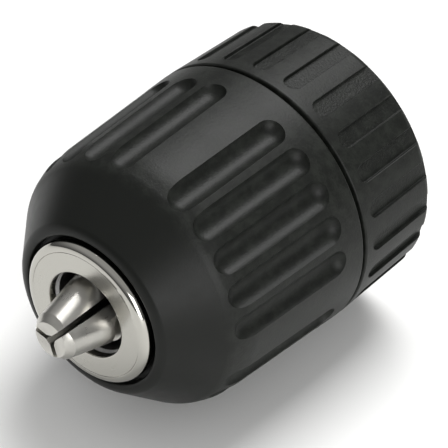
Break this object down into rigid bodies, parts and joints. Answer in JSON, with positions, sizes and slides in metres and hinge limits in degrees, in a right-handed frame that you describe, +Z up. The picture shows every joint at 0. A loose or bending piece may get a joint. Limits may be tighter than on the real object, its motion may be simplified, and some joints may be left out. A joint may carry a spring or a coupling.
{
  "type": "keyless drill chuck",
  "caption": "Hand-tightened drill chuck with two ribbed plastic sleeves, a bright steel nose cap, sliding steel jaws and a threaded spindle socket.",
  "frame": {"origin": "on the spindle axis, in the plane of the rear face that seats on the spindle's shoulder", "axes": "the spindle axis is Y: the spindle enters from +Y and the jaws point towards -Y; +Z is up, with the chuck lying on its side"},
  "size_m": [0.043, 0.0611, 0.043],
  "materials": {
    "sleeve_plastic": "fine moulded grain",
    "cap_chrome": "polished rim, satin face",
    "jaw_steel": "satin",
    "body_steel": "turned",
    "nut_steel": "dark, oiled",
    "bearing_steel": "ground",
    "cage_nylon": "moulded"
  },
  "bodies": {
    "body": {"chuck_body": "body_steel", "nose_cap": "cap_chrome", "rear_sleeve": "sleeve_plastic", "rear_thrust_race": "bearing_steel"},
    "sleeve": {"front_sleeve": "sleeve_plastic", "nut_half_left": "nut_steel", "nut_half_right": "nut_steel", "nut_band": "nut_steel", "front_thrust_race": "bearing_steel"},
    "cage": {"ball_cage": "cage_nylon", "bearing_ball_01": "bearing_steel", "bearing_ball_02": "bearing_steel", "bearing_ball_03": "bearing_steel", "bearing_ball_04": "bearing_steel", "bearing_ball_05": "bearing_steel", "bearing_ball_06": "bearing_steel", "bearing_ball_07": "bearing_steel", "bearing_ball_08": "bearing_steel", "bearing_ball_09": "bearing_steel", "bearing_ball_10": "bearing_steel", "bearing_ball_11": "bearing_steel", "bearing_ball_12": "bearing_steel", "bearing_ball_13": "bearing_steel", "bearing_ball_14": "bearing_steel", "bearing_ball_15": "bearing_steel", "bearing_ball_16": "bearing_steel", "bearing_ball_17": "bearing_steel", "bearing_ball_18": "bearing_steel"},
    "jaw_1": {"jaw_1": "jaw_steel"},
    "jaw_2": {"jaw_2": "jaw_steel"},
    "jaw_3": {"jaw_3": "jaw_steel"}
  },
  "joints": [
    {"name": "sleeve_spin", "type": "hinge", "parent": "body", "child": "sleeve", "pos_m": [0, -0.02, 0], "axis": [0, -1, 0], "range_deg": [0, 3860]},
    {"name": "cage_spin", "type": "hinge", "parent": "body", "child": "cage", "pos_m": [0, -0.02, 0], "axis": [0, -1, 0], "range_deg": [0, 1930]},
    {"name": "jaw_1_slide", "type": "slide", "parent": "body", "child": "jaw_1", "axis": [-0.0757, 0.9659, 0.2475], "range_m": [0, 0.02221]},
    {"name": "jaw_2_slide", "type": "slide", "parent": "body", "child": "jaw_2", "axis": [0.2522, 0.9659, -0.0582], "range_m": [0, 0.02221]},
    {"name": "jaw_3_slide", "type": "slide", "parent": "body", "child": "jaw_3", "axis": [-0.1765, 0.9659, -0.1893], "range_m": [0, 0.02221]}
  ],
  "couplings": [
    {"joint": "cage_spin", "follows": "sleeve_spin", "ratio": 0.5},
    {"joint": "jaw_1_slide", "follows": "sleeve_spin", "m_per_rad": 0.00032954},
    {"joint": "jaw_2_slide", "follows": "sleeve_spin", "m_per_rad": 0.00032954},
    {"joint": "jaw_3_slide", "follows": "sleeve_spin", "m_per_rad": 0.00032954}
  ]
}
